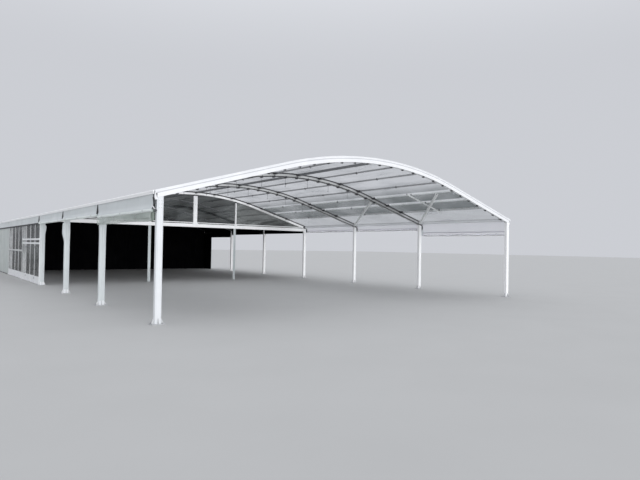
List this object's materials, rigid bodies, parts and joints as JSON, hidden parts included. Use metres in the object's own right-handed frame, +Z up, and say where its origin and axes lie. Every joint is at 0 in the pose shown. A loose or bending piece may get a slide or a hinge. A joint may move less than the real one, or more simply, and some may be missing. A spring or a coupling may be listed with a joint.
{
  "type": "arched clear-span frame marquee with clear and opaque roof bays",
  "caption": "Arched clear-span frame marquee: clear-roofed open bays in front, opaque roofed and walled bays behind.",
  "frame": {"origin": "on the ground at the middle of the footprint", "axes": "+X across the tent to the right seen from the open front, +Y along it to the closed rear, +Z up"},
  "size_m": [16.0882, 30.26, 5.1307],
  "materials": {
    "white_frame": "satin white paint",
    "grey_frame": "mill aluminium",
    "grey_bar": "dull aluminium",
    "clear_sheet": "clear flexible sheet",
    "white_sheet": "coated white roof fabric",
    "white_fabric": "coated white wall fabric",
    "clear_pane": "clear window pane",
    "bag_film": "translucent greenish film",
    "steel_fitting": "galvanised",
    "black_webbing": "woven webbing",
    "dark_lining": "dark drape"
  },
  "bodies": {
    "root": {"arch_1": "white_frame", "arch_2": "grey_frame", "arch_3": "grey_frame", "arch_4": "white_frame", "arch_5": "grey_frame", "arch_6": "grey_frame", "arch_7": "white_frame", "leg_left_1": "white_frame", "leg_left_2": "white_frame", "leg_left_3": "white_frame", "leg_left_4": "white_frame", "leg_left_5": "white_frame", "leg_left_6": "white_frame", "leg_left_7": "white_frame", "leg_right_1": "white_frame", "leg_right_2": "white_frame", "leg_right_3": "white_frame", "leg_right_4": "white_frame", "leg_right_5": "white_frame", "leg_right_6": "white_frame", "leg_right_7": "white_frame", "purlin_ridge": "grey_bar", "purlin_left_1": "grey_bar", "purlin_left_2": "grey_bar", "purlin_left_3": "grey_bar", "purlin_left_4": "grey_bar", "purlin_left_5": "grey_bar", "purlin_left_6": "grey_bar", "eave_beam_left": "white_frame", "purlin_right_1": "grey_bar", "purlin_right_2": "grey_bar", "purlin_right_3": "grey_bar", "purlin_right_4": "grey_bar", "purlin_right_5": "grey_bar", "purlin_right_6": "grey_bar", "eave_beam_right": "white_frame", "roof_clear_1": "clear_sheet", "roof_clear_2": "clear_sheet", "roof_clear_3": "clear_sheet", "roof_white_4": "white_sheet", "roof_white_5": "white_sheet", "roof_white_6": "white_sheet", "gable_tie_beam": "white_frame", "gable_post_left": "white_frame", "gable_post_centre": "white_frame", "gable_post_right": "white_frame", "gable_pane": "clear_sheet", "rolled_wall_left_1": "white_fabric", "rolled_wall_left_2": "white_fabric", "rolled_wall_left_3": "white_fabric", "rolled_wall_right_1": "white_fabric", "rolled_wall_right_2": "white_fabric", "rolled_wall_right_3": "white_fabric", "rolled_wall_right_4": "white_fabric", "rolled_wall_right_5": "white_fabric", "rolled_wall_right_6": "white_fabric", "window_wall_left": "white_frame", "fabric_wall_left": "white_fabric", "fabric_wall_rear": "white_fabric", "eave_flap_left": "white_fabric"}
  },
  "joints": []
}
